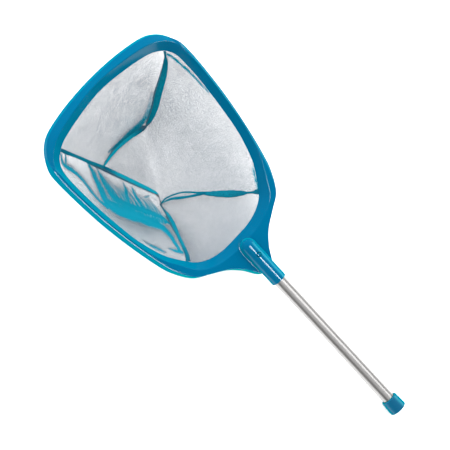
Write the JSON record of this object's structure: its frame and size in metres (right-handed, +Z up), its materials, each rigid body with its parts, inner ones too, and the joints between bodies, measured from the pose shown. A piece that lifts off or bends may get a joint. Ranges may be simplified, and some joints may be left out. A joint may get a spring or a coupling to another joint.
{
  "type": "leaf skimmer net",
  "caption": "Hand skimmer for pool leaves: a moulded blue rim and socket, a sewn mesh bag, a short aluminium pole locked by a spring clip and an end cap.",
  "frame": {"origin": "on the floor under the middle of the bounding box, with the net lying at rest on its bag and its end cap", "axes": "+Y runs from the end cap towards the scraping edge, +X across the rim, +Z up; the pole and rim slope up towards +Y by 10.7 degrees"},
  "size_m": [0.3296, 0.7839, 0.1556],
  "materials": {
    "frame_blue": "glossy injection-moulded blue plastic",
    "ring_blue": "satin moulded blue plastic",
    "net_mesh": "fine open polyester mesh in pale teal, light grey when looked through",
    "seam_tape": "several layers of teal mesh sewn together",
    "pole_aluminium": "satin drawn aluminium tube",
    "cap_blue": "satin moulded blue plastic",
    "button_blue": "moulded blue plastic",
    "clip_blue": "springy moulded blue plastic"
  },
  "bodies": {
    "net": {"frame_shell": "frame_blue", "retaining_ring": "ring_blue", "net_hem": "net_mesh", "net_far_panel": "net_mesh", "net_left_panel": "net_mesh", "net_near_panel": "net_mesh", "net_main_panel": "net_mesh", "seam_far_right": "seam_tape", "seam_far_left": "seam_tape", "seam_bottom_far": "seam_tape", "seam_bottom_left": "seam_tape", "seam_near_right": "seam_tape", "seam_near_left": "seam_tape", "pole": "pole_aluminium", "end_cap": "cap_blue", "clip_spring": "clip_blue"},
    "top_button": {"lock_button_top": "button_blue"},
    "bottom_button": {"lock_button_bottom": "button_blue"}
  },
  "joints": [
    {"name": "top_button_press", "type": "slide", "parent": "net", "child": "top_button", "axis": [0, 0.1857, -0.9826], "range_m": [0, 0.003], "stiffness_N_per_m": 2000, "springref_m": -0.002, "deforming": ["clip_spring"]},
    {"name": "bottom_button_press", "type": "slide", "parent": "net", "child": "bottom_button", "axis": [0, -0.1857, 0.9826], "range_m": [0, 0.003], "stiffness_N_per_m": 2000, "springref_m": -0.002, "deforming": ["clip_spring"]}
  ]
}
